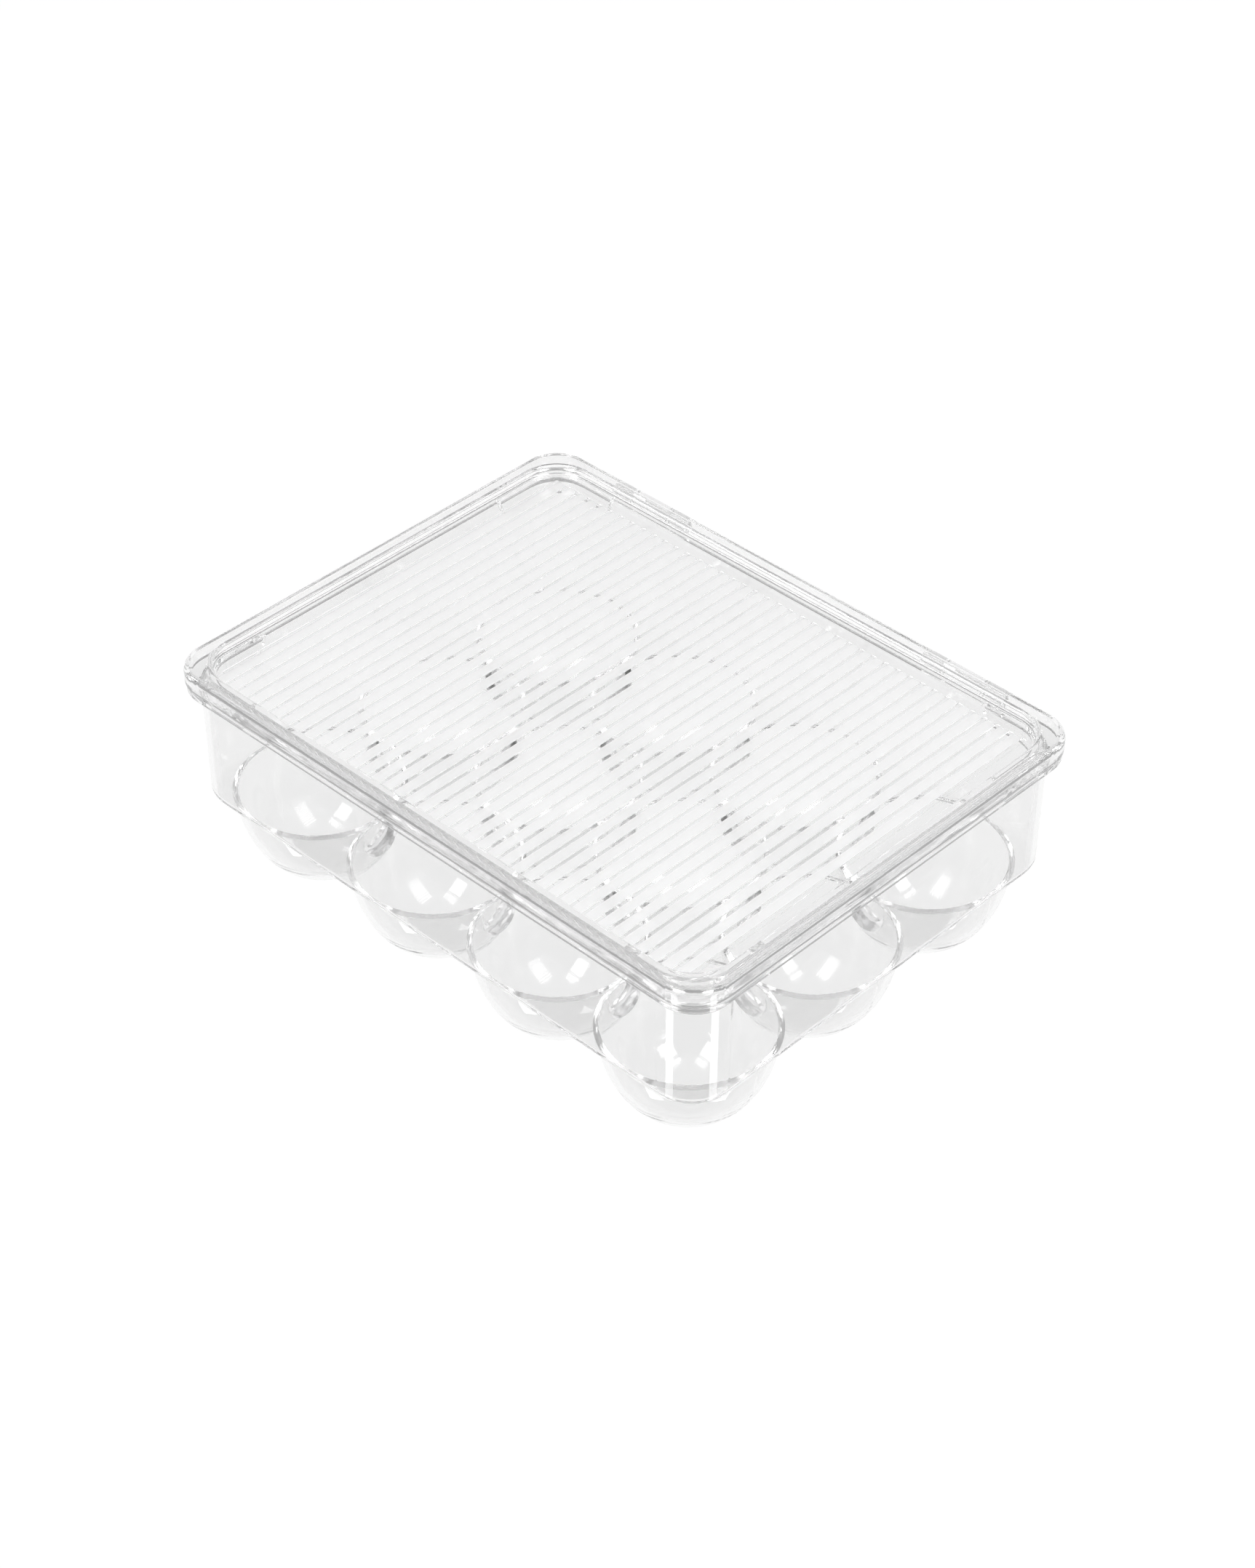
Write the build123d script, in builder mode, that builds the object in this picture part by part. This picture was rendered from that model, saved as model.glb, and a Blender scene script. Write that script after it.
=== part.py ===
from build123d import *

import math
import os

# Egg keeper for twelve eggs: a clear moulded tray with four columns and three rows of egg cups, and a
# clear ribbed lid that flips up about two hinge pins hidden along the back long edge.
#
# Millimetres. X runs along the four columns, Y along the three rows with the hinge at +Y, Z is up.
# The origin is at the middle of the footprint, on the surface that the cup feet stand on.

# Egg cups
cup_columns = 4
cup_rows = 3
cup_spacing = 48.0
cup_mouth_radius = 23.1
cup_rim_rounding = 0.4
cup_depth = 28.4
cup_wall = 1.7
cup_foot_thickness = 1.2
cup_bottom_share = 0.4

# Round webs that join neighbouring cups under the deck
web_radius = 6.4
web_axis_drop = 5.4
web_reach = 3.2

# Tray walls, deck and flange
cup_to_wall_gap = 1.25
wall_thickness = 1.4
wall_height = 37.8
wall_draft_angle = 0.6
wall_corner_radius = 13.6
deck_thickness = 1.4
deck_edge_rounding = 2.6
flange_overhang = 2.1
flange_thickness = 2.6
flange_corner_radius = 11.4
flange_edge_rounding = 0.6

# Lid
lid_seat_gap = 0.2
lid_reveal = 0.4
lid_rim_height = 5.6
lid_rim_width = 5.6
lid_skin = 1.8
lid_corner_radius = 11.8
lid_rim_outer_rounding = 2.2
lid_rim_inner_rounding = 1.2
lid_lower_rounding = 0.4
recess_depth = 2.9
recess_corner_radius = 12.0
recess_foot_rounding = 0.6
panel_thickness = 1.8

# Ribs under the lid's panel
rib_count = 41
rib_width = 1.3
rib_depth = 0.35
rib_side_margin = 6.0
rib_end_margin = 5.3
rib_draft_angle = 14.0

# Corner tabs under the lid, which keep it square on the tray
tab_clearance = 1.0
tab_thickness = 2.2
tab_depth = 6.2
tab_long_arm = 25.5
tab_short_arm = 26.5
tab_end_slant = 2.8
tab_lower_rounding = 0.5

# Hinge
hinge_end_distance = 41.0
knuckle_radius = 2.0
lid_knuckle_length = 14.0
tray_knuckle_length = 7.0
knuckle_side_gap = 0.3
knuckle_clearance = 0.3
pin_radius = 0.9
pin_running_clearance = 0.08
pin_end_setback = 0.2

# Heights
deck_top = cup_depth + cup_foot_thickness
deck_underside = deck_top - deck_thickness
flange_top = deck_top + wall_height
flange_underside = flange_top - flange_thickness
lid_bottom = flange_top + lid_seat_gap
lid_top = lid_bottom + lid_rim_height
panel_top = lid_top - recess_depth
panel_underside = panel_top - panel_thickness
tab_bottom = panel_underside - tab_depth

# Outlines in plan
rim_circle_radius = cup_mouth_radius + cup_rim_rounding
inner_length = (cup_columns - 1) * cup_spacing + 2 * (rim_circle_radius + cup_to_wall_gap)
inner_width = (cup_rows - 1) * cup_spacing + 2 * (rim_circle_radius + cup_to_wall_gap)
inner_corner_radius = wall_corner_radius - wall_thickness
draft_per_height = math.tan(math.radians(wall_draft_angle))
wall_spread = wall_height * draft_per_height
mouth_length = inner_length + 2 * wall_spread
mouth_width = inner_width + 2 * wall_spread
mouth_corner_radius = inner_corner_radius + wall_spread
flange_length = mouth_length + 2 * (wall_thickness + flange_overhang)
flange_width = mouth_width + 2 * (wall_thickness + flange_overhang)
lid_length = flange_length + 2 * lid_reveal
lid_width = flange_width + 2 * lid_reveal
recess_length = lid_length - 2 * lid_rim_width
recess_width = lid_width - 2 * lid_rim_width
tab_ring_length = mouth_length - 2 * tab_clearance
tab_ring_width = mouth_width - 2 * tab_clearance
tab_ring_radius = mouth_corner_radius - tab_clearance

# Hinge line: at the lid's back face, level with the joint between the lid and the flange
hinge_y = lid_width / 2
hinge_z = flange_top + lid_seat_gap / 2
tray_knuckle_offset = (lid_knuckle_length + tray_knuckle_length) / 2 + knuckle_side_gap
hinge_length = lid_knuckle_length + 2 * (tray_knuckle_length + knuckle_side_gap)
relief_radius = knuckle_radius + knuckle_clearance
hinge_centres = {
    "left": -lid_length / 2 + hinge_end_distance,
    "right": lid_length / 2 - hinge_end_distance,
}


def hinge_plane(x):
    """The plane across the hinge line at x, facing +X."""
    return Plane(origin=(x, hinge_y, hinge_z), x_dir=(0, 1, 0), z_dir=(1, 0, 0))


os.makedirs("parts", exist_ok=True)

# The section of a cup is a round bottom that runs smoothly into a steeper side. Both arcs of the outside
# share their centres with the inside.
bowl_drop = cup_depth - cup_rim_rounding
bottom_radius = cup_mouth_radius - cup_bottom_share * (bowl_drop - cup_mouth_radius)
bottom_centre_drop = bowl_drop - bottom_radius
side_radius = (cup_mouth_radius**2 + bottom_centre_drop**2 - bottom_radius**2) / (
    2 * (cup_mouth_radius - bottom_radius)
)
side_centre_offset = cup_mouth_radius - side_radius
join_angle = math.degrees(math.atan(-bottom_centre_drop / side_centre_offset))
bottom_centre = (0, -cup_rim_rounding - bottom_centre_drop)
side_centre = (side_centre_offset, -cup_rim_rounding)

# The hollow of one cup, from its lowest point up through the crisp rim, about its own axis with the
# deck's upper face at zero
with BuildPart() as cup_hollow:
    with BuildSketch(Plane.XZ):
        with BuildLine():
            bottom = CenterArc(bottom_centre, bottom_radius, 270, 90 - join_angle)
            side = CenterArc(side_centre, side_radius, -join_angle, join_angle)
            rim = RadiusArc(side @ 1, (rim_circle_radius, 0), cup_rim_rounding)
            Polyline(
                rim @ 1,
                (rim_circle_radius, deck_edge_rounding),
                (0, deck_edge_rounding),
                bottom @ 0,
            )
        make_face()
    revolve(axis=Axis.Z)

# The outside of one cup, as a solid bowl cut off flat at its foot
with BuildPart() as cup_bowl:
    with BuildSketch(Plane.XZ):
        with BuildLine():
            bottom = CenterArc(bottom_centre, bottom_radius + cup_wall, 270, 90 - join_angle)
            side = CenterArc(side_centre, side_radius + cup_wall, -join_angle, join_angle)
            Polyline(
                side @ 1,
                (0, -cup_rim_rounding),
                bottom @ 0,
            )
        make_face()
    revolve(axis=Axis.Z)
    split(bisect_by=Plane.XY.offset(-deck_top), keep=Keep.TOP)

# The round web between two cups, along X: a solid disc cut off level inside the deck
with BuildPart() as cup_web:
    with BuildSketch(Plane.YZ.offset(-web_reach)):
        with Locations((0, -web_axis_drop)):
            Circle(web_radius)
        with Locations((0, -deck_thickness / 2)):
            web_box = 4 * web_radius
            Rectangle(web_box, web_box, align=(Align.CENTER, Align.MIN), mode=Mode.SUBTRACT)
    extrude(amount=2 * web_reach)

# The flange around the mouth of the tray, with a pocket for each lid knuckle between two tray knuckles
with BuildPart() as flange:
    with BuildSketch(Plane.XY.offset(flange_underside)):
        RectangleRounded(flange_length, flange_width, flange_corner_radius)
    extrude(amount=flange_thickness)
    fillet(flange.edges().filter_by(Axis.Z, reverse=True), flange_edge_rounding)
    for hinge_x in hinge_centres.values():
        pocket_length = lid_knuckle_length + 2 * knuckle_side_gap
        with BuildSketch(hinge_plane(hinge_x - pocket_length / 2)):
            Circle(relief_radius)
        extrude(amount=pocket_length, mode=Mode.SUBTRACT)
        for side in (-1, 1):
            knuckle_start = hinge_x + side * tray_knuckle_offset - tray_knuckle_length / 2
            with BuildSketch(hinge_plane(knuckle_start)):
                Circle(knuckle_radius)
            extrude(amount=tray_knuckle_length)
            with BuildSketch(hinge_plane(knuckle_start)):
                Circle(pin_radius)
            extrude(amount=tray_knuckle_length, mode=Mode.SUBTRACT)

# The room inside the walls, above the deck
with BuildPart() as tray_room:
    with BuildSketch(Plane.XY.offset(deck_top)):
        RectangleRounded(inner_length, inner_width, inner_corner_radius)
    extrude(amount=wall_height + lid_seat_gap, taper=-wall_draft_angle)
    fillet(tray_room.edges().group_by(Axis.Z)[0], deck_edge_rounding - deck_thickness)

# Egg tray: walls, deck, cups and flange in one moulding
with BuildPart() as egg_tray:
    with BuildSketch(Plane.XY.offset(deck_underside)):
        RectangleRounded(
            inner_length + 2 * wall_thickness, inner_width + 2 * wall_thickness, wall_corner_radius
        )
    extrude(amount=wall_height + deck_thickness, taper=-wall_draft_angle)
    fillet(egg_tray.edges().group_by(Axis.Z)[0], deck_edge_rounding)
    with Locations((0, 0, deck_top)):
        with GridLocations(cup_spacing, cup_spacing, cup_columns, cup_rows):
            add(cup_bowl.part)
        with GridLocations(cup_spacing, cup_spacing, cup_columns - 1, cup_rows):
            add(cup_web.part)
        with GridLocations(cup_spacing, cup_spacing, cup_columns, cup_rows - 1):
            add(cup_web.part, rotation=(0, 0, 90))
    add(flange.part)
    add(tray_room.part, mode=Mode.SUBTRACT)
    with Locations((0, 0, deck_top)):
        with GridLocations(cup_spacing, cup_spacing, cup_columns, cup_rows):
            add(cup_hollow.part, mode=Mode.SUBTRACT)
egg_tray.part.label = "egg_tray"
export_step(egg_tray.part, "parts/egg_tray.step")

# Corner tabs: a ring that follows the mouth of the tray, cut away along each side
with BuildPart() as corner_tabs:
    with BuildSketch(Plane.XY.offset(tab_bottom)):
        RectangleRounded(tab_ring_length, tab_ring_width, tab_ring_radius)
        RectangleRounded(
            tab_ring_length - 2 * tab_thickness,
            tab_ring_width - 2 * tab_thickness,
            tab_ring_radius - tab_thickness,
            mode=Mode.SUBTRACT,
        )
    extrude(amount=tab_depth + panel_thickness)
    fillet(corner_tabs.edges().group_by(Axis.Z)[0], tab_lower_rounding)
    long_gap = tab_ring_length - 2 * tab_long_arm
    with BuildSketch(Plane.XZ.offset(-tab_ring_width)):
        with Locations((0, tab_bottom)):
            Trapezoid(
                long_gap + 2 * tab_end_slant,
                tab_depth + panel_thickness,
                math.degrees(math.atan2(tab_depth + panel_thickness, tab_end_slant)),
                align=(Align.CENTER, Align.MIN),
            )
    extrude(amount=2 * tab_ring_width, mode=Mode.SUBTRACT)
    short_gap = tab_ring_width - 2 * tab_short_arm
    with BuildSketch(Plane.YZ.offset(-tab_ring_length)):
        with Locations((0, tab_bottom)):
            Trapezoid(
                short_gap + 2 * tab_end_slant,
                tab_depth + panel_thickness,
                math.degrees(math.atan2(tab_depth + panel_thickness, tab_end_slant)),
                align=(Align.CENTER, Align.MIN),
            )
    extrude(amount=2 * tab_ring_length, mode=Mode.SUBTRACT)

# Lid: a recessed ribbed panel inside a raised hollow rim, with its tabs and hinge knuckles
rib_pitch = (recess_length - 2 * rib_side_margin) / (rib_count - 1)
rib_length = recess_width - 2 * rib_end_margin
with BuildPart() as lid:
    with BuildSketch(Plane.XY.offset(lid_bottom)):
        RectangleRounded(lid_length, lid_width, lid_corner_radius)
    extrude(amount=lid_rim_height)
    fillet(lid.edges().group_by(Axis.Z)[-1], lid_rim_outer_rounding)
    fillet(lid.edges().group_by(Axis.Z)[0], lid_lower_rounding)
    with BuildSketch(Plane.XY.offset(lid_top)):
        RectangleRounded(recess_length, recess_width, recess_corner_radius)
    extrude(amount=-recess_depth, mode=Mode.SUBTRACT)
    rim_crest = lid.faces().filter_by(Axis.Z).sort_by(Axis.Z)[-1]
    fillet(rim_crest.inner_wires()[0].edges(), lid_rim_inner_rounding)
    panel_face = lid.faces().filter_by(Axis.Z).sort_by(Axis.Z)[-2]
    fillet(panel_face.outer_wire().edges(), recess_foot_rounding)
    skirt_inner_length = lid_length - 2 * lid_skin
    skirt_inner_width = lid_width - 2 * lid_skin
    with BuildSketch(Plane.XY.offset(lid_bottom)):
        RectangleRounded(skirt_inner_length, skirt_inner_width, lid_corner_radius - lid_skin)
    extrude(amount=panel_underside - lid_bottom, mode=Mode.SUBTRACT)
    with BuildSketch(Plane.XY.offset(panel_underside)):
        RectangleRounded(skirt_inner_length, skirt_inner_width, lid_corner_radius - lid_skin)
        RectangleRounded(
            recess_length + 2 * lid_skin,
            recess_width + 2 * lid_skin,
            recess_corner_radius + lid_skin,
            mode=Mode.SUBTRACT,
        )
    extrude(amount=lid_top - lid_skin - panel_underside, mode=Mode.SUBTRACT)
    with BuildSketch(Plane.XY.offset(panel_underside)):
        with GridLocations(rib_pitch, rib_pitch, rib_count, 1):
            Rectangle(rib_width, rib_length)
    extrude(amount=-rib_depth, taper=rib_draft_angle)
    add(corner_tabs.part)
    for hinge_x in hinge_centres.values():
        for side in (-1, 1):
            relief_length = tray_knuckle_length + 2 * knuckle_side_gap
            relief_start = hinge_x + side * tray_knuckle_offset - relief_length / 2
            with BuildSketch(hinge_plane(relief_start)):
                Circle(relief_radius)
            extrude(amount=relief_length, mode=Mode.SUBTRACT)
        knuckle_start = hinge_x - lid_knuckle_length / 2
        with BuildSketch(hinge_plane(knuckle_start)):
            Circle(knuckle_radius)
        extrude(amount=lid_knuckle_length)
        with BuildSketch(hinge_plane(knuckle_start)):
            Circle(pin_radius + pin_running_clearance)
        extrude(amount=lid_knuckle_length, mode=Mode.SUBTRACT)
lid.part.label = "lid"
export_step(lid.part, "parts/lid.step")

# Hinge pins, pressed into the tray's knuckles
for side_name, hinge_x in hinge_centres.items():
    pin_length = hinge_length - 2 * pin_end_setback
    with BuildPart() as hinge_pin:
        with BuildSketch(hinge_plane(hinge_x - pin_length / 2)):
            Circle(pin_radius)
        extrude(amount=pin_length)
    hinge_pin.part.label = f"hinge_pin_{side_name}"
    export_step(hinge_pin.part, f"parts/hinge_pin_{side_name}.step")
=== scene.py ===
import math

import bmesh
import bpy
from bpy.props import FloatProperty, FloatVectorProperty, PointerProperty
from mathutils import Matrix, Vector


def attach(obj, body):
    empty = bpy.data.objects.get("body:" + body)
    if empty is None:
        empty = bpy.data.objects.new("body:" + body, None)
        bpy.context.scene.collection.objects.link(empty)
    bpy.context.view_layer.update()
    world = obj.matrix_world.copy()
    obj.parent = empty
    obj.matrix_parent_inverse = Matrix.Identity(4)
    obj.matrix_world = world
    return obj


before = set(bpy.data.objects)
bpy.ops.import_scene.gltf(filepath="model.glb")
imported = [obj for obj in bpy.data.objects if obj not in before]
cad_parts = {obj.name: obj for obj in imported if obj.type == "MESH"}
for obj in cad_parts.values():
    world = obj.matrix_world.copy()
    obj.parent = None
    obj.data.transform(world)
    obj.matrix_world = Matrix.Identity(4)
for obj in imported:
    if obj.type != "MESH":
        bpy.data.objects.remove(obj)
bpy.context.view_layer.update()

bl_info = {
    "name": "Clear Egg Keeper",
    "version": (1, 0, 0),
    "blender": (4, 5, 0),
    "location": "3D View > Sidebar > Egg Keeper",
    "description": "Finishes a clear egg tray, its ribbed flip lid and its hinge pins",
    "category": "Object",
}

SURFACE_GROUP = "moulded_plastic_surface"
FROST_GROUP = "frosted_strips"
WHITE = (1.0, 1.0, 1.0, 1.0)

# How the node editor lays the nodes out: in rows, in the order of making
NODES_PER_ROW = 6
NODE_SPACING = (220, 300)

# The frosting under the lid's panel, in metres in the lid's own frame
RIB_COUNT = 41
RIB_PITCH = 0.0044723
CLEAR_WIDTH = 0.00114
FROST_HALF_LENGTH = 0.0895
FROST_FRONT = -0.0696
FROST_BACK = 0.0661
PANEL_UNDERSIDE = 0.0685

# Half the width of the blur at the edges of the frosting's mask
RIB_BLUR = 0.00008
LENGTH_BLUR = 0.0002
WIDTH_BLUR = 0.0004
DEPTH_BLUR = 0.00005
# How far from the panel's underside the mask still counts a face as part of it
FROST_REACH = 0.00025

# The thin slabs of grain between the ribs
SLAB_GAP = 0.00003
SLAB_THICKNESS = 0.0003
SLAB_END_STEPS = 8

# Scale, detail and roughness of each noise. The ripples and scuffs scale their places instead.
RIPPLE_NOISE = (1.0, 1.0, 0.4)
SCUFF_NOISE = (1.0, 1.0, 0.5)
HAZE_NOISE = (38.0, 3.0, 0.55)
GRAIN_NOISE = (420.0, 3.0, 0.6)

# The stretch of each noise that counts, from nothing to all of its effect
SCUFF_RANGE = (0.66, 0.74)
HAZE_RANGE = (0.5, 0.78)
GRAIN_RANGE = (0.3, 0.7)

# The grain's spread about the plain veil, and its roughness
GRAIN_SPREAD = 0.04
GRAIN_ROUGHNESS = 0.6

# Two sets of fine scuffs: the scale along X, Y and Z, and the angle about Z in degrees
SCUFF_SETS = (((2600.0, 90.0, 700.0), 17.0), ((110.0, 2300.0, 700.0), 26.0))

# The lid and the pins are flatter than the tray's walls
FLAT_RIPPLE_SHARE = 0.2

# The camera's sensor in millimetres, and its nearest and farthest point in metres
SENSOR_WIDTH = 36.0
CAMERA_REACH = (0.01, 50.0)

# The point that the soft boxes face, and the stretch below the horizon that their feet fill
LAMP_AIM = Vector((0.0, 0.0, 0.03))
FOOT_ELEVATIONS = (math.radians(-62.0), math.radians(-20.0))

FLOOR_REACH = 6.0
FLOOR_DROP = 0.0001

# Heights of a view direction between which the room changes from its floor to its walls,
# and from its walls to its ceiling
HORIZON_BAND = (-0.04, 0.06)
WALL_BAND = (0.06, 0.9)

# Light crosses many faces of the clear plastic, and reflects inside it, before it comes out
CLEAR_BOUNCES = 64
GLOSS_BOUNCES = 48
SHADOW_BOUNCES = 48


# ---------------------------------------------------------------- settings

COLOUR = {"subtype": "COLOR", "size": 3, "min": 0.0, "max": 1.0}
SHARE = {"subtype": "FACTOR", "min": 0.0, "max": 1.0}
LENGTH = {"subtype": "DISTANCE", "unit": "LENGTH"}
ANGLE = {"subtype": "ANGLE", "unit": "ROTATION"}
LAMP_STRENGTH = {"min": 0.0, "max": 20.0}
ROOM_STRENGTH = {"min": 0.0, "max": 2.0}


class EGGKEEPER_PG_plastic(bpy.types.PropertyGroup):
    """The clear moulded plastic and the finish of each moulding."""

    tray_colour: FloatVectorProperty(
        name="Tray colour",
        description="What a wall of the tray lets through",
        default=(0.912, 0.912, 0.912),
        **COLOUR,
    )
    lid_colour: FloatVectorProperty(
        name="Lid colour",
        description="What the lid's panel and rim let through",
        default=(0.995, 0.995, 0.995),
        **COLOUR,
    )
    pin_colour: FloatVectorProperty(
        name="Pin colour",
        description="What a hinge pin lets through",
        default=(0.96, 0.96, 0.96),
        **COLOUR,
    )
    refraction: FloatProperty(
        name="Refractive index",
        description="Refractive index of the clear plastic",
        default=1.5,
        min=1.3,
        max=1.8,
    )
    polish_roughness: FloatProperty(
        name="Polish roughness",
        description="Roughness of the polished faces",
        default=0.015,
        min=0.0,
        max=0.3,
    )
    haze_roughness: FloatProperty(
        name="Haze roughness",
        description="Roughness where handling has dulled the polish",
        default=0.06,
        min=0.0,
        max=0.5,
    )
    frost_roughness: FloatProperty(
        name="Frost roughness",
        description="Roughness of the frosted strips between the lid's ribs",
        default=0.3,
        min=0.0,
        max=1.0,
    )
    frost_colour: FloatVectorProperty(
        name="Frost colour",
        description="Colour of the grain between the lid's ribs",
        default=(0.98, 0.98, 0.98),
        **COLOUR,
    )
    frost_veil: FloatProperty(
        name="Frost veil",
        description="Share of the view that one face of the grain hides",
        default=0.3,
        **SHARE,
    )
    ripple_length: FloatProperty(
        name="Ripple length",
        description="Distance between the slow waves that moulding leaves in the walls",
        default=0.022,
        min=0.001,
        max=0.2,
        **LENGTH,
    )
    ripple_height: FloatProperty(
        name="Ripple height",
        description="Height of the slow waves that moulding leaves in the walls",
        default=0.00008,
        min=0.0,
        max=0.001,
        precision=6,
        **LENGTH,
    )
    scuff_height: FloatProperty(
        name="Scuff height",
        description="Depth of the fine scuffs from washing and stacking",
        default=0.0000014,
        min=0.0,
        max=0.0002,
        precision=7,
        **LENGTH,
    )
    shade_through: FloatProperty(
        name="Light through a face",
        description="Share of the lamps' light that goes on through each face",
        default=0.985,
        **SHARE,
    )


class EGGKEEPER_PG_stage(bpy.types.PropertyGroup):
    """The camera, the lamps, the room and the pale floor."""

    camera_azimuth: FloatProperty(
        name="Camera azimuth",
        description="Direction of the camera, from the front towards the right",
        default=math.radians(43.7563),
        **ANGLE,
    )
    camera_elevation: FloatProperty(
        name="Camera elevation",
        description="Height of the camera above the horizon",
        default=math.radians(39.1389),
        **ANGLE,
    )
    camera_roll: FloatProperty(
        name="Camera roll",
        description="Turn of the camera about its own line of sight",
        default=math.radians(0.254),
        **ANGLE,
    )
    camera_distance: FloatProperty(
        name="Camera distance",
        description="Distance from the camera to the point that it looks at",
        default=0.98079,
        **LENGTH,
    )
    camera_target: FloatVectorProperty(
        name="Camera target",
        description="The point that the camera looks at",
        default=(-0.00172, 0.00519, 0.03747),
        subtype="XYZ",
        unit="LENGTH",
        size=3,
    )
    lens_length: FloatProperty(
        name="Lens length",
        description="Focal length for a 36 mm long side, in millimetres",
        default=79.694,
        min=10.0,
        max=300.0,
    )
    lamp_azimuths: FloatVectorProperty(
        name="Lamp azimuths",
        description="Directions of the two soft boxes, from the front towards the right",
        default=(math.radians(-4.0), math.radians(91.0)),
        subtype="EULER",
        unit="ROTATION",
        size=2,
    )
    lamp_elevation: FloatProperty(
        name="Lamp elevation",
        description="Height of the soft boxes above the horizon",
        default=math.radians(51.0),
        **ANGLE,
    )
    lamp_distance: FloatProperty(
        name="Lamp distance",
        description="Distance of the soft boxes from the object",
        default=3.0,
        **LENGTH,
    )
    lamp_size: FloatVectorProperty(
        name="Lamp size",
        description="Width and height of a soft box",
        default=(1.06, 1.95),
        unit="LENGTH",
        size=2,
    )
    lamp_brightness: FloatProperty(
        name="Lamp brightness",
        description="Brightness of a soft box, where 1 is white",
        default=6.5,
        **LAMP_STRENGTH,
    )
    foot_width: FloatProperty(
        name="Foot width",
        description="Width of the foot of a soft box, which reaches past the table's edge",
        default=0.62,
        **LENGTH,
    )
    foot_brightness: FloatProperty(
        name="Foot brightness",
        description="Brightness of the foot of a soft box, where 1 is white",
        default=4.5,
        **LAMP_STRENGTH,
    )
    wall_brightness: FloatProperty(
        name="Wall brightness",
        description="Brightness of the room just above the horizon, where 1 is white",
        default=0.5,
        **ROOM_STRENGTH,
    )
    ceiling_brightness: FloatProperty(
        name="Ceiling brightness",
        description="Brightness of the room overhead, where 1 is white",
        default=0.34,
        **ROOM_STRENGTH,
    )
    room_light: FloatProperty(
        name="Room light",
        description="Brightness of the room as it lights matt surfaces, where 1 is white",
        default=0.57,
        **ROOM_STRENGTH,
    )
    floor_colour: FloatVectorProperty(
        name="Floor colour",
        description="Colour of the pale floor",
        default=(0.95, 0.95, 0.95),
        **COLOUR,
    )
    floor_glow: FloatProperty(
        name="Floor lift",
        description="Share of the floor's white that doesn't take the object's shadow",
        default=0.88,
        **SHARE,
    )
    shadow_reach: FloatVectorProperty(
        name="Shadow reach",
        description="Distances from the object between which the floor fades to plain white",
        default=(0.6, 1.6),
        unit="LENGTH",
        size=2,
    )


# ---------------------------------------------------------------- node helpers


def feed(tree, socket, value):
    """Links an output to that input, or gives the input a plain value."""
    if isinstance(value, bpy.types.NodeSocket):
        tree.links.new(value, socket)
    else:
        socket.default_value = value


def add_node(tree, kind, **settings):
    """A new node with its own settings, in the next free place."""
    row, column = divmod(len(tree.nodes), NODES_PER_ROW)
    node = tree.nodes.new(kind)
    node.location = (column * NODE_SPACING[0], -row * NODE_SPACING[1])
    for name, value in settings.items():
        setattr(node, name, value)
    return node


def add_noise(tree, vector, scale, detail, roughness):
    """A noise texture at that place."""
    noise = add_node(tree, "ShaderNodeTexNoise")
    tree.links.new(vector, noise.inputs["Vector"])
    noise.inputs["Scale"].default_value = scale
    noise.inputs["Detail"].default_value = detail
    noise.inputs["Roughness"].default_value = roughness
    return noise.outputs["Fac"]


def add_maths(tree, operation, first, second=None):
    """A maths node whose inputs are links or plain values."""
    node = add_node(tree, "ShaderNodeMath", operation=operation)
    feed(tree, node.inputs[0], first)
    if second is not None:
        feed(tree, node.inputs[1], second)
    return node.outputs[0]


def add_range(tree, value, given, wanted=(0.0, 1.0), smooth=False):
    """Carries a value from the given stretch over to the wanted one, and holds it at the ends."""
    kind = "SMOOTHSTEP" if smooth else "LINEAR"
    node = add_node(tree, "ShaderNodeMapRange", interpolation_type=kind)
    feed(tree, node.inputs["Value"], value)
    feed(tree, node.inputs["From Min"], given[0])
    feed(tree, node.inputs["From Max"], given[1])
    feed(tree, node.inputs["To Min"], wanted[0])
    feed(tree, node.inputs["To Max"], wanted[1])
    return node.outputs[0]


def add_band(tree, value, half_width, blur):
    """1 where the value lies within the half width of zero, and 0 outside it."""
    distance = add_maths(tree, "ABSOLUTE", value)
    return add_range(tree, distance, (half_width - blur, half_width + blur), (1.0, 0.0))


def add_glow(tree, kind, strength):
    """White light of that strength, from an Emission or a Background node."""
    glow = add_node(tree, kind)
    glow.inputs["Color"].default_value = WHITE
    feed(tree, glow.inputs["Strength"], strength)
    return glow.outputs[0]


def mix_shaders(tree, share, first, second):
    """The first shader, with that share of the second in its place."""
    mix = add_node(tree, "ShaderNodeMixShader")
    feed(tree, mix.inputs[0], share)
    tree.links.new(first, mix.inputs[1])
    tree.links.new(second, mix.inputs[2])
    return mix.outputs[0]


def ray_is(tree, *kinds):
    """1 for rays of any of those kinds, and 0 for all others."""
    rays = add_node(tree, "ShaderNodeLightPath")
    answer = rays.outputs[kinds[0]]
    for kind in kinds[1:]:
        answer = add_maths(tree, "MAXIMUM", answer, rays.outputs[kind])
    return answer


def empty_tree(owner):
    """The node tree of a new material or world, with nothing in it."""
    owner.use_nodes = True
    owner.node_tree.nodes.clear()
    return owner.node_tree


def show_surface(tree, shader, kind="ShaderNodeOutputMaterial"):
    """Makes that shader the surface of the tree's material or world."""
    output = add_node(tree, kind)
    tree.links.new(shader, output.inputs["Surface"])


# ---------------------------------------------------------------- shader groups


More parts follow.
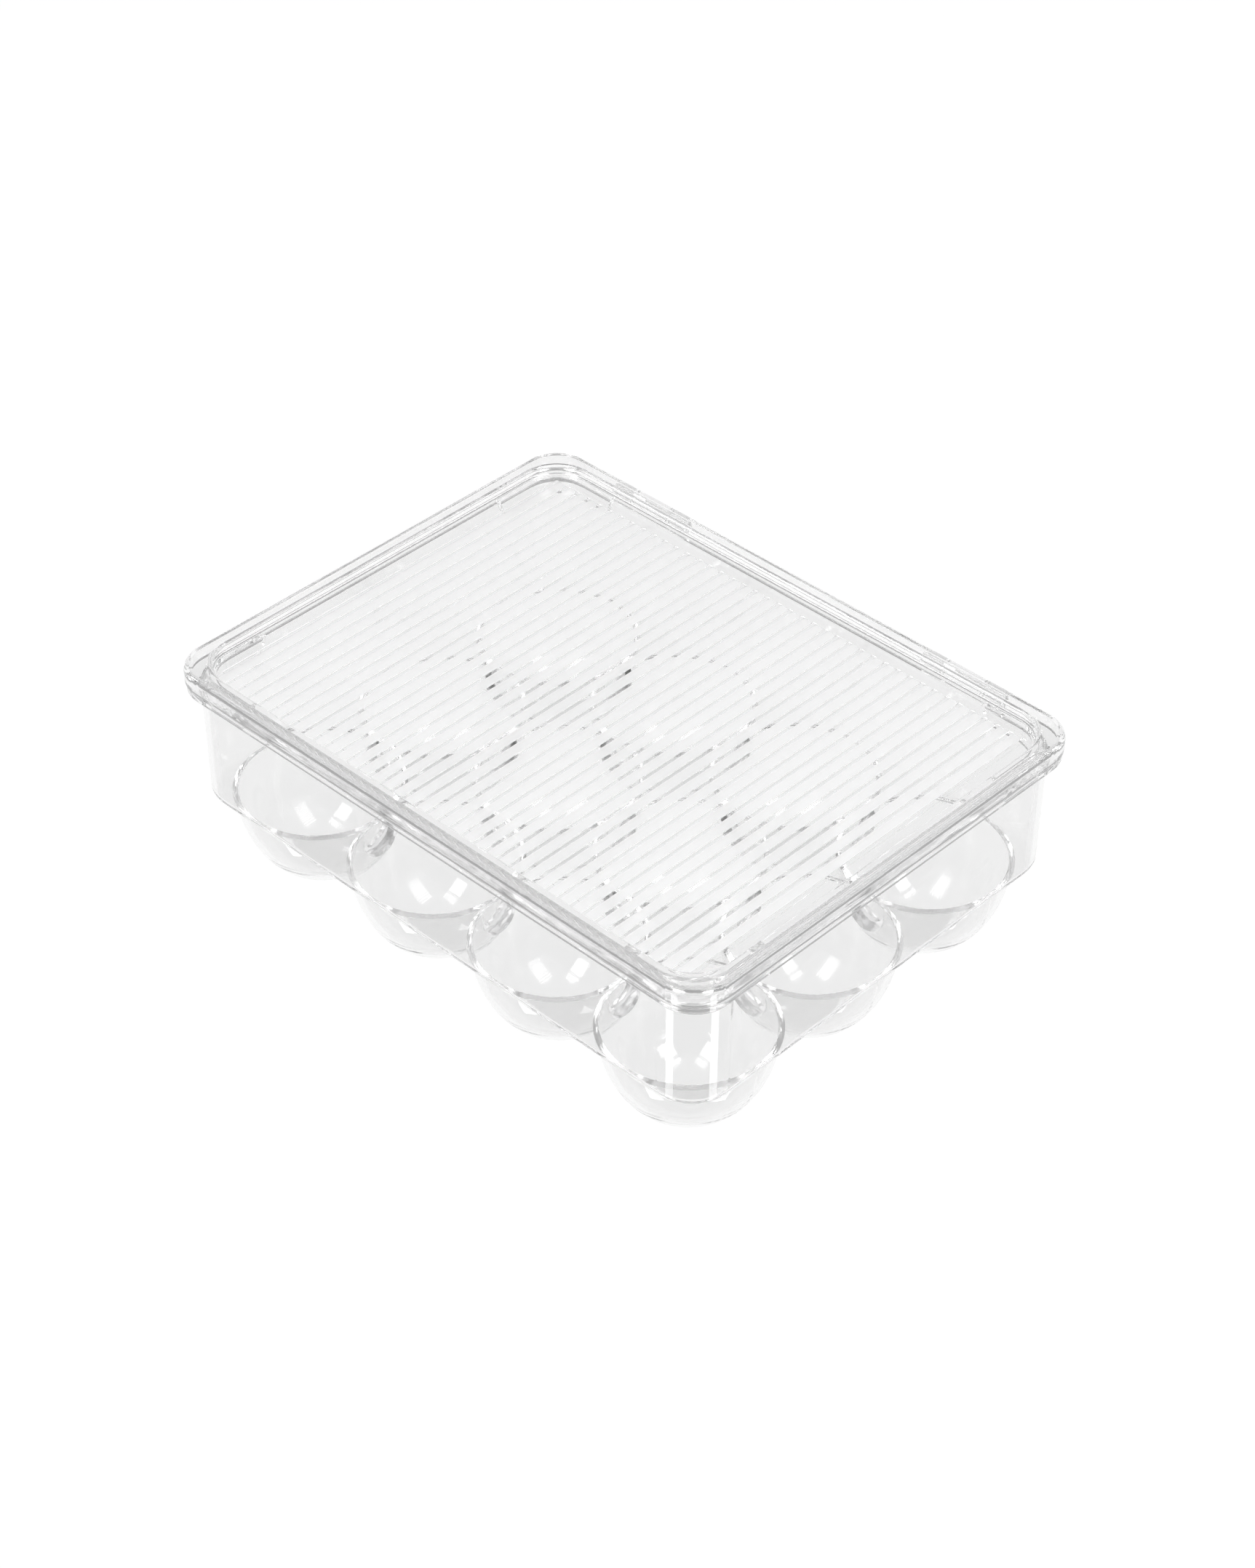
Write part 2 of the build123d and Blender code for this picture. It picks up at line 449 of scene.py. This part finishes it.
def moulded_surface_group(settings):
    """The group that gives a moulding its ripples, its scuffs and its patches of dulled polish."""
    group = bpy.data.node_groups.get(SURFACE_GROUP)
    if group is not None:
        return group
    group = bpy.data.node_groups.new(SURFACE_GROUP, "ShaderNodeTree")
    for name, value in (
        ("Ripple Length", settings.ripple_length),
        ("Ripple Height", settings.ripple_height),
        ("Scuff Height", settings.scuff_height),
        ("Polish Roughness", settings.polish_roughness),
        ("Haze Roughness", settings.haze_roughness),
    ):
        socket = group.interface.new_socket(name, in_out="INPUT", socket_type="NodeSocketFloat")
        socket.default_value = value
    for name in ("Roughness", "Height"):
        group.interface.new_socket(name, in_out="OUTPUT", socket_type="NodeSocketFloat")
    given = add_node(group, "NodeGroupInput").outputs
    place = add_node(group, "ShaderNodeTexCoord").outputs["Object"]

    # Slow ripples in the walls, from the way that the plastic cooled
    stretch = add_node(group, "ShaderNodeVectorMath", operation="DIVIDE")
    group.links.new(place, stretch.inputs[0])
    group.links.new(given["Ripple Length"], stretch.inputs[1])
    ripples = add_noise(group, stretch.outputs[0], *RIPPLE_NOISE)
    ripple_height = add_maths(group, "MULTIPLY", ripples, given["Ripple Height"])

    # Fine scuffs: thin broken lines in two directions
    scuffs = []
    for scale, turn in SCUFF_SETS:
        squeeze = add_node(group, "ShaderNodeMapping")
        squeeze.inputs["Scale"].default_value = scale
        squeeze.inputs["Rotation"].default_value = (0.0, 0.0, math.radians(turn))
        group.links.new(place, squeeze.inputs["Vector"])
        lines = add_noise(group, squeeze.outputs[0], *SCUFF_NOISE)
        scuffs.append(add_range(group, lines, SCUFF_RANGE))
    both = add_maths(group, "MAXIMUM", *scuffs)
    scuff_height = add_maths(group, "MULTIPLY", both, given["Scuff Height"])
    height = add_maths(group, "SUBTRACT", ripple_height, scuff_height)

    # Patches where handling has dulled the polish
    patches = add_noise(group, place, *HAZE_NOISE)
    share = add_range(group, patches, HAZE_RANGE, smooth=True)
    ends = (given["Polish Roughness"], given["Haze Roughness"])
    roughness = add_range(group, share, (0.0, 1.0), ends)

    result = add_node(group, "NodeGroupOutput").inputs
    group.links.new(roughness, result["Roughness"])
    group.links.new(height, result["Height"])
    return group


def frosted_strips_group():
    """The group that roughens the frosted strips between the ribs under the lid's panel."""
    group = bpy.data.node_groups.get(FROST_GROUP)
    if group is not None:
        return group
    group = bpy.data.node_groups.new(FROST_GROUP, "ShaderNodeTree")
    for name, way in (("Polished", "INPUT"), ("Frosted", "INPUT"), ("Roughness", "OUTPUT")):
        group.interface.new_socket(name, in_out=way, socket_type="NodeSocketFloat")
    given = add_node(group, "NodeGroupInput").outputs
    split = add_node(group, "ShaderNodeSeparateXYZ")
    group.links.new(add_node(group, "ShaderNodeTexCoord").outputs["Object"], split.inputs[0])
    x, y, z = split.outputs

    # The distance to the nearest rib repeats with the ribs' pitch
    shifted = add_maths(group, "ADD", x, RIB_PITCH / 2)
    repeat = add_maths(group, "FLOORED_MODULO", shifted, RIB_PITCH)
    from_rib = add_maths(group, "SUBTRACT", repeat, RIB_PITCH / 2)
    on_rib = add_band(group, from_rib, CLEAR_WIDTH / 2, RIB_BLUR)
    between_ribs = add_maths(group, "SUBTRACT", 1.0, on_rib)

    # Only the panel's underside is frosted: back as far as the ribs reach, forward to the rim
    in_length = add_band(group, x, FROST_HALF_LENGTH, LENGTH_BLUR)
    from_middle = add_maths(group, "SUBTRACT", y, (FROST_FRONT + FROST_BACK) / 2)
    in_width = add_band(group, from_middle, (FROST_BACK - FROST_FRONT) / 2, WIDTH_BLUR)
    from_underside = add_maths(group, "SUBTRACT", z, PANEL_UNDERSIDE)
    at_underside = add_band(group, from_underside, FROST_REACH, DEPTH_BLUR)
    area = add_maths(group, "MULTIPLY", in_length, in_width)
    strips = add_maths(group, "MULTIPLY", between_ribs, area)
    share = add_maths(group, "MULTIPLY", strips, at_underside)
    roughness = add_range(group, share, (0.0, 1.0), (given["Polished"], given["Frosted"]))

    result = add_node(group, "NodeGroupOutput").inputs
    group.links.new(roughness, result["Roughness"])
    return group


# ---------------------------------------------------------------- materials


def let_light_through(tree, shader, settings):
    """The same shader, through which the lamps' light goes on to what lies behind."""
    through = add_node(tree, "ShaderNodeBsdfTransparent")
    through.inputs["Color"].default_value = (settings.shade_through,) * 3 + (1.0,)
    passing = ray_is(tree, "Is Shadow Ray", "Is Diffuse Ray")
    return mix_shaders(tree, passing, shader, through.outputs[0])


def clear_plastic(name, colour, settings, ripple_share=1.0, frost=None):
    """A clear moulded plastic, frosted between the lid's ribs where a frost roughness is given."""
    material = bpy.data.materials.new(name)
    tree = empty_tree(material)
    group = moulded_surface_group(settings)
    surface = add_node(tree, "ShaderNodeGroup", node_tree=group)
    surface.inputs["Ripple Length"].default_value = settings.ripple_length
    surface.inputs["Ripple Height"].default_value = settings.ripple_height * ripple_share
    surface.inputs["Scuff Height"].default_value = settings.scuff_height
    surface.inputs["Polish Roughness"].default_value = settings.polish_roughness
    surface.inputs["Haze Roughness"].default_value = settings.haze_roughness
    bump = add_node(tree, "ShaderNodeBump")
    bump.inputs["Distance"].default_value = 1.0
    tree.links.new(surface.outputs["Height"], bump.inputs["Height"])
    roughness = surface.outputs["Roughness"]
    if frost is not None:
        strips = add_node(tree, "ShaderNodeGroup", node_tree=frosted_strips_group())
        strips.inputs["Frosted"].default_value = frost
        tree.links.new(roughness, strips.inputs["Polished"])
        roughness = strips.outputs["Roughness"]
    plastic = add_node(tree, "ShaderNodeBsdfPrincipled")
    plastic.inputs["Base Color"].default_value = (*colour, 1.0)
    plastic.inputs["Metallic"].default_value = 0.0
    plastic.inputs["IOR"].default_value = settings.refraction
    plastic.inputs["Transmission Weight"].default_value = 1.0
    tree.links.new(roughness, plastic.inputs["Roughness"])
    tree.links.new(bump.outputs["Normal"], plastic.inputs["Normal"])
    show_surface(tree, let_light_through(tree, plastic.outputs[0], settings))
    return material


def frosted_plastic(settings):
    """The fine grain between the ribs: a pale veil whose strength varies a little."""
    material = bpy.data.materials.new("frosted_grain")
    tree = empty_tree(material)
    place = add_node(tree, "ShaderNodeTexCoord").outputs["Object"]
    noise = add_noise(tree, place, *GRAIN_NOISE)
    ends = (settings.frost_veil - GRAIN_SPREAD, settings.frost_veil + GRAIN_SPREAD)
    grain = add_node(tree, "ShaderNodeBsdfPrincipled")
    grain.inputs["Base Color"].default_value = (*settings.frost_colour, 1.0)
    grain.inputs["Roughness"].default_value = GRAIN_ROUGHNESS
    tree.links.new(add_range(tree, noise, GRAIN_RANGE, ends), grain.inputs["Alpha"])
    show_surface(tree, let_light_through(tree, grain.outputs[0], settings))
    return material


def finish_node(name, material):
    """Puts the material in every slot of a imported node."""
    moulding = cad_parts.get(name)
    if moulding is None:
        raise RuntimeError(f"the packed model has no moulding named {name}")
    for slot in moulding.material_slots:
        slot.material = material


# ---------------------------------------------------------------- pieces


def add_frosted_strip(shape, middle, half_width, top):
    """One strip of grain along Y with round ends, as a thin closed slab."""
    outline = []
    for way, end in ((-1, FROST_FRONT), (1, FROST_BACK)):
        for step in range(SLAB_END_STEPS + 1):
            turn = math.pi * step / SLAB_END_STEPS
            x = middle + way * half_width * math.cos(turn)
            y = end - way * half_width * (1.0 - math.sin(turn))
            outline.append((x, y))
    upper = [shape.verts.new((x, y, top)) for x, y in outline]
    lower = [shape.verts.new((x, y, top - SLAB_THICKNESS)) for x, y in outline]
    shape.faces.new(upper)
    shape.faces.new(list(reversed(lower)))
    for index in range(len(outline)):
        after = (index + 1) % len(outline)
        shape.faces.new((upper[index], lower[index], lower[after], upper[after]))


class EGGKEEPER_OT_finish_tray(bpy.types.Operator):
    """Gives the egg tray its clear moulded finish"""

    bl_idname = "egg_keeper.finish_tray"
    bl_label = "Finish Egg Tray"

    def execute(self, context):
        settings = context.scene.egg_keeper_plastic
        finish_node("egg_tray", clear_plastic("clear_tray", settings.tray_colour, settings))
        return {"FINISHED"}


class EGGKEEPER_OT_finish_lid(bpy.types.Operator):
    """Gives the ribbed lid its clear moulded finish"""

    bl_idname = "egg_keeper.finish_lid"
    bl_label = "Finish Ribbed Lid"

    def execute(self, context):
        settings = context.scene.egg_keeper_plastic
        material = clear_plastic(
            "clear_lid", settings.lid_colour, settings, FLAT_RIPPLE_SHARE, settings.frost_roughness
        )
        finish_node("lid", material)
        return {"FINISHED"}


class EGGKEEPER_OT_add_frosting(bpy.types.Operator):
    """Lays the fine grain between the ribs on the underside of the lid's panel"""

    bl_idname = "egg_keeper.add_frosting"
    bl_label = "Add Frosting"

    def execute(self, context):
        shape = bmesh.new()
        half_width = (RIB_PITCH - CLEAR_WIDTH) / 2
        for strip in range(1, RIB_COUNT):
            middle = (strip - RIB_COUNT / 2) * RIB_PITCH
            add_frosted_strip(shape, middle, half_width, PANEL_UNDERSIDE - SLAB_GAP)
        bmesh.ops.recalc_face_normals(shape, faces=shape.faces)
        mesh = bpy.data.meshes.new("lid_frosting")
        shape.to_mesh(mesh)
        shape.free()
        mesh.materials.append(frosted_plastic(context.scene.egg_keeper_plastic))
        frosting = bpy.data.objects.new("lid_frosting", mesh)
        context.scene.collection.objects.link(frosting)
        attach(frosting, "lid")
        return {"FINISHED"}


class EGGKEEPER_OT_finish_pins(bpy.types.Operator):
    """Gives the two hinge pins their clear finish"""

    bl_idname = "egg_keeper.finish_pins"
    bl_label = "Finish Hinge Pins"

    def execute(self, context):
        settings = context.scene.egg_keeper_plastic
        material = clear_plastic("clear_pin", settings.pin_colour, settings, FLAT_RIPPLE_SHARE)
        for name in ("hinge_pin_left", "hinge_pin_right"):
            finish_node(name, material)
        return {"FINISHED"}


# ---------------------------------------------------------------- stage


def direction_to(azimuth, elevation):
    """The unit vector towards that azimuth, from the front towards the right, and elevation."""
    return Vector(
        (
            math.cos(elevation) * math.sin(azimuth),
            -math.cos(elevation) * math.cos(azimuth),
            math.sin(elevation),
        )
    )


def add_camera(scene, settings):
    """The camera, aimed with its small roll."""
    back = direction_to(settings.camera_azimuth, settings.camera_elevation)
    level = Vector((math.cos(settings.camera_azimuth), math.sin(settings.camera_azimuth), 0.0))
    above = back.cross(level)
    turn_cos = math.cos(settings.camera_roll)
    turn_sin = math.sin(settings.camera_roll)
    right = level * turn_cos + above * turn_sin
    up = above * turn_cos - level * turn_sin
    data = bpy.data.cameras.new("studio_camera")
    data.lens = settings.lens_length
    data.sensor_width = SENSOR_WIDTH
    data.clip_start, data.clip_end = CAMERA_REACH
    camera = bpy.data.objects.new("studio_camera", data)
    scene.collection.objects.link(camera)
    stand = Vector(settings.camera_target) + back * settings.camera_distance
    aim = Matrix((right, up, back)).transposed().to_4x4()
    camera.matrix_world = Matrix.Translation(stand) @ aim
    scene.camera = camera


def add_soft_boxes(scene, settings):
    """The two soft boxes, one on each side of the camera."""
    for side, azimuth in zip(("left", "right"), settings.lamp_azimuths):
        toward = direction_to(azimuth, settings.lamp_elevation)
        data = bpy.data.lights.new(f"soft_box_{side}", "AREA")
        data.shape = "RECTANGLE"
        data.size, data.size_y = settings.lamp_size
        data.energy = settings.lamp_brightness * math.pi * data.size * data.size_y
        lamp = bpy.data.objects.new(f"soft_box_{side}", data)
        lamp.location = LAMP_AIM + toward * settings.lamp_distance
        lamp.rotation_mode = "QUATERNION"
        lamp.rotation_quaternion = (-toward).to_track_quat("-Z", "Y")
        lamp.visible_camera = False
        scene.collection.objects.link(lamp)


def add_plane(scene, name, corners, material):
    """A plain plane with four corners, for the floor or a card."""
    mesh = bpy.data.meshes.new(name)
    mesh.from_pydata(corners, [], [(0, 1, 2, 3)])
    mesh.materials.append(material)
    plane = bpy.data.objects.new(name, mesh)
    scene.collection.objects.link(plane)
    return plane


def add_low_cards(scene, settings):
    """The feet of the soft boxes, which reach past the table's edge and show only in gloss."""
    material = bpy.data.materials.new("soft_box_cloth")
    tree = empty_tree(material)
    show_surface(tree, add_glow(tree, "ShaderNodeEmission", settings.foot_brightness))
    material.cycles.emission_sampling = "NONE"
    low, high = FOOT_ELEVATIONS
    for side, azimuth in zip(("left", "right"), settings.lamp_azimuths):
        across = direction_to(azimuth + math.pi / 2, 0.0) * (settings.foot_width / 2)
        bottom = LAMP_AIM + direction_to(azimuth, low) * settings.lamp_distance
        top = LAMP_AIM + direction_to(azimuth, high) * settings.lamp_distance
        corners = (bottom - across, bottom + across, top + across, top - across)
        card = add_plane(scene, f"soft_box_foot_{side}", corners, material)
        card.visible_camera = False
        card.visible_diffuse = False
        card.visible_transmission = False
        card.visible_shadow = False


def pale_floor_material(settings):
    """Almost white where it is seen, so that it keeps the object's shadow, and white far off."""
    material = bpy.data.materials.new("pale_floor")
    tree = empty_tree(material)
    matt = add_node(tree, "ShaderNodeBsdfDiffuse")
    matt.inputs["Color"].default_value = (*settings.floor_colour, 1.0)
    white = add_glow(tree, "ShaderNodeEmission", 1.0)
    place = add_node(tree, "ShaderNodeTexCoord").outputs["Object"]
    distance = add_node(tree, "ShaderNodeVectorMath", operation="LENGTH")
    tree.links.new(place, distance.inputs[0])
    ends = (settings.floor_glow, 1.0)
    lift = add_range(tree, distance.outputs["Value"], settings.shadow_reach, ends, smooth=True)
    lifted = mix_shaders(tree, lift, matt.outputs[0], white)
    seen = ray_is(tree, "Is Camera Ray", "Is Glossy Ray", "Is Transmission Ray")
    show_surface(tree, mix_shaders(tree, seen, matt.outputs[0], lifted))
    return material


def add_floor(scene, settings):
    """The pale floor, just under the feet of the cups."""
    reach, level = FLOOR_REACH, -FLOOR_DROP
    corners = (
        (-reach, -reach, level),
        (reach, -reach, level),
        (reach, reach, level),
        (-reach, reach, level),
    )
    floor = add_plane(scene, "pale_floor", corners, pale_floor_material(settings))
    floor.visible_glossy = False


def add_room(scene, settings):
    """The room: white round the horizon and below, dimmer overhead."""
    world = bpy.data.worlds.new("studio_room")
    tree = empty_tree(world)
    split = add_node(tree, "ShaderNodeSeparateXYZ")
    direction = add_node(tree, "ShaderNodeTexCoord").outputs["Generated"]
    tree.links.new(direction, split.inputs[0])
    height = split.outputs["Z"]
    walls = (1.0, settings.wall_brightness)
    horizon = add_range(tree, height, HORIZON_BAND, walls, smooth=True)
    ceiling = (1.0, settings.ceiling_brightness / settings.wall_brightness)
    overhead = add_range(tree, height, WALL_BAND, ceiling, smooth=True)
    tone = add_maths(tree, "MULTIPLY", horizon, overhead)
    room = add_glow(tree, "ShaderNodeBackground", tone)
    plain = add_glow(tree, "ShaderNodeBackground", settings.room_light)
    backdrop = add_glow(tree, "ShaderNodeBackground", 1.0)
    soft = mix_shaders(tree, ray_is(tree, "Is Diffuse Ray"), room, plain)
    mix = mix_shaders(tree, ray_is(tree, "Is Camera Ray"), soft, backdrop)
    show_surface(tree, mix, "ShaderNodeOutputWorld")
    scene.world = world


class EGGKEEPER_OT_build_stage(bpy.types.Operator):
    """Sets up the camera, the soft boxes, the room and the pale floor"""

    bl_idname = "egg_keeper.build_stage"
    bl_label = "Build Stage"

    def execute(self, context):
        scene = context.scene
        settings = scene.egg_keeper_stage
        add_camera(scene, settings)
        add_soft_boxes(scene, settings)
        add_low_cards(scene, settings)
        add_floor(scene, settings)
        add_room(scene, settings)
        scene.view_settings.view_transform = "Standard"
        scene.cycles.max_bounces = CLEAR_BOUNCES
        scene.cycles.transmission_bounces = CLEAR_BOUNCES
        scene.cycles.glossy_bounces = GLOSS_BOUNCES
        scene.cycles.transparent_max_bounces = SHADOW_BOUNCES
        return {"FINISHED"}


# ---------------------------------------------------------------- panel


class EGGKEEPER_PT_panel(bpy.types.Panel):
    """Lists the keeper's pieces, the stage and their settings"""

    bl_idname = "EGGKEEPER_PT_panel"
    bl_label = "Clear Egg Keeper"
    bl_space_type = "VIEW_3D"
    bl_region_type = "UI"
    bl_category = "Egg Keeper"

    def draw(self, context):
        for operator in OPERATORS:
            self.layout.operator(operator.bl_idname)
        for settings in (context.scene.egg_keeper_plastic, context.scene.egg_keeper_stage):
            box = self.layout.box()
            for name in settings.__annotations__:
                box.prop(settings, name)


OPERATORS = (
    EGGKEEPER_OT_finish_tray,
    EGGKEEPER_OT_finish_lid,
    EGGKEEPER_OT_add_frosting,
    EGGKEEPER_OT_finish_pins,
    EGGKEEPER_OT_build_stage,
)
CLASSES = (EGGKEEPER_PG_plastic, EGGKEEPER_PG_stage, *OPERATORS, EGGKEEPER_PT_panel)


def register():
    for kind in CLASSES:
        bpy.utils.register_class(kind)
    bpy.types.Scene.egg_keeper_plastic = PointerProperty(type=EGGKEEPER_PG_plastic)
    bpy.types.Scene.egg_keeper_stage = PointerProperty(type=EGGKEEPER_PG_stage)


def unregister():
    del bpy.types.Scene.egg_keeper_stage
    del bpy.types.Scene.egg_keeper_plastic
    for kind in reversed(CLASSES):
        bpy.utils.unregister_class(kind)


def main():
    register()
    bpy.ops.egg_keeper.finish_tray()
    bpy.ops.egg_keeper.finish_lid()
    bpy.ops.egg_keeper.add_frosting()
    bpy.ops.egg_keeper.finish_pins()
    bpy.ops.egg_keeper.build_stage()


if __name__ == "__main__":
    main()
